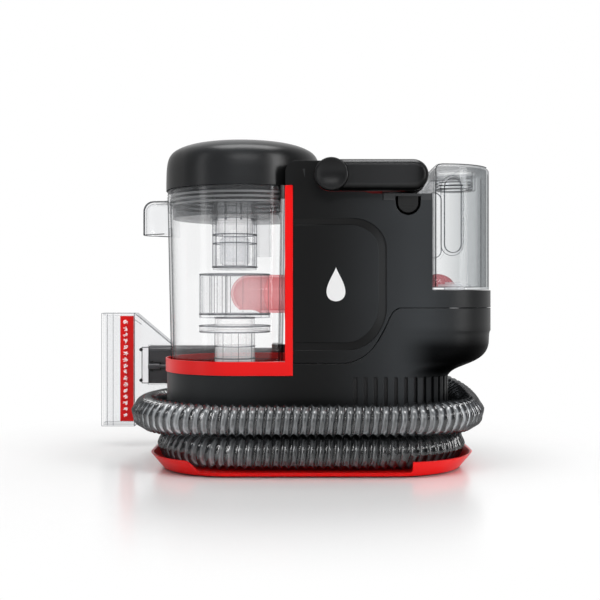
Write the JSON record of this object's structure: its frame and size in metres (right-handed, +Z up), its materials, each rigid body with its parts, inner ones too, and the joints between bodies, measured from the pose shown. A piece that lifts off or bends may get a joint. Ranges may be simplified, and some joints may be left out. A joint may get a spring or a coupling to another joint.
{
  "type": "spot extractor",
  "caption": "Portable carpet spot extractor: clear recovery and clean-water tanks on a black housing, folding carry handle, hose wrapped round its base, docked hand tool.",
  "frame": {"origin": "on the floor, under the centre of the overall box", "axes": "+X towards the clean-water tank, +Y towards the docked hand tool, +Z up"},
  "size_m": [0.3684, 0.2072, 0.2894],
  "materials": {
    "housing_black": "satin black moulded ABS",
    "lid_gloss": "polished black moulded plastic",
    "handle_black": "satin black",
    "grip_rubber": "soft-touch rubber",
    "trim_red": "gloss red",
    "duct_red": "red translucent",
    "clear_plastic": "clear polished plastic",
    "smoke_grey": "smoke grey",
    "seal_rubber": "moulded rubber",
    "hose_smoke": "translucent smoke ribbed hose",
    "tool_grey": "satin dark grey",
    "float_white": "natural moulded plastic",
    "tuft_white": "nylon tufts",
    "button_black": "satin black",
    "inner_black": "moulded black",
    "steel": "plated steel",
    "board_green": "printed circuit board"
  },
  "bodies": {
    "base": {"base_tray": "trim_red", "rubber_feet": "grip_rubber", "lower_housing": "housing_black", "vent_filter": "inner_black", "upper_housing": "housing_black", "tank_bezel": "trim_red", "inlet_seal": "seal_rubber", "power_switch": "inner_black", "vacuum_motor": "steel", "motor_mount_bush": "seal_rubber", "motor_bracket": "steel", "fan_housing": "inner_black", "suction_duct": "inner_black", "pump_body": "inner_black", "pump_spring": "steel", "pump_feed_tube": "float_white", "control_board": "board_green", "suction_hose": "hose_smoke", "hose_inlet_cuff": "tool_grey", "hose_tool_cuff": "tool_grey", "tool_dock": "tool_grey", "handle_pivot_pins": "steel"},
    "fan_rotor": {"fan_impeller": "inner_black", "motor_shaft": "steel"},
    "plunger": {"pump_plunger": "steel"},
    "recovery_tank": {"recovery_tank": "clear_plastic", "pour_spout": "clear_plastic", "separator_post": "clear_plastic", "separator_cup": "clear_plastic", "inlet_duct": "duct_red"},
    "lid": {"tank_lid": "lid_gloss", "lid_skirt": "smoke_grey", "lid_seals": "seal_rubber", "lid_outlet_seal": "seal_rubber", "float_cage": "clear_plastic", "air_drop_tube": "clear_plastic"},
    "float": {"float_ball": "float_white"},
    "clean_tank": {"clean_tank": "clear_plastic", "clean_tank_lip": "clear_plastic", "tank_valve_body": "float_white", "tank_filter_dome": "trim_red", "fill_cap_seal": "seal_rubber"},
    "fill_cap": {"fill_cap": "clear_plastic"},
    "valve": {"tank_valve_stem": "float_white"},
    "button_near": {"release_button_near": "button_black"},
    "button_far": {"release_button_far": "button_black"},
    "handle": {"carry_handle": "handle_black", "handle_liners": "trim_red", "handle_pivot_caps": "handle_black", "handle_grip": "grip_rubber"},
    "power_button": {"power_button": "button_black"},
    "tool": {"tool_body": "tool_grey", "tool_nozzle": "clear_plastic", "brush_bar": "trim_red", "brush_tufts": "tuft_white", "spray_nozzle": "tool_grey", "trigger_pin": "steel"},
    "trigger": {"spray_trigger": "tool_grey"}
  },
  "joints": [
    {"name": "handle_fold", "type": "hinge", "parent": "base", "child": "handle", "pos_m": [0.03975, -0.0016, 0.2517], "axis": [0, -1, 0], "range_deg": [0, 90]},
    {"name": "recovery_tank_lift", "type": "slide", "parent": "base", "child": "recovery_tank", "axis": [0, 0, 1], "range_m": [0, 0.185]},
    {"name": "lid_lift", "type": "slide", "parent": "recovery_tank", "child": "lid", "axis": [0, 0, 1], "range_m": [0, 0.08]},
    {"name": "float_rise", "type": "slide", "parent": "lid", "child": "float", "axis": [0, 0, 1], "range_m": [0, 0.03]},
    {"name": "clean_tank_lift", "type": "slide", "parent": "base", "child": "clean_tank", "axis": [0, 0, 1], "range_m": [0, 0.12]},
    {"name": "fill_cap_turn", "type": "hinge", "parent": "clean_tank", "child": "fill_cap", "pos_m": [0.15575, -0.0016, 0.26], "axis": [0, 0, 1], "range_deg": [0, 90]},
    {"name": "valve_open", "type": "slide", "parent": "clean_tank", "child": "valve", "axis": [0, 0, 1], "range_m": [0, 0.003]},
    {"name": "near_release_press", "type": "slide", "parent": "base", "child": "button_near", "axis": [0, 1, 0], "range_m": [0, 0.0025]},
    {"name": "far_release_press", "type": "slide", "parent": "base", "child": "button_far", "axis": [0, -1, 0], "range_m": [0, 0.0025]},
    {"name": "power_press", "type": "slide", "parent": "base", "child": "power_button", "axis": [0, 0, -1], "range_m": [0, 0.002]},
    {"name": "fan_spin", "type": "hinge", "parent": "base", "child": "fan_rotor", "pos_m": [0.06375, -0.0016, 0.165], "axis": [0, 0, 1], "continuous": true},
    {"name": "pump_stroke", "type": "slide", "parent": "base", "child": "plunger", "axis": [1, 0, 0], "range_m": [0, 0.001]},
    {"name": "tool_pull_off", "type": "slide", "parent": "base", "child": "tool", "axis": [-1, 0, 0], "range_m": [0, 0.12]},
    {"name": "trigger_squeeze", "type": "hinge", "parent": "tool", "child": "trigger", "pos_m": [-0.05225, 0.0884, 0.071], "axis": [0, -1, 0], "range_deg": [0, 6]}
  ]
}
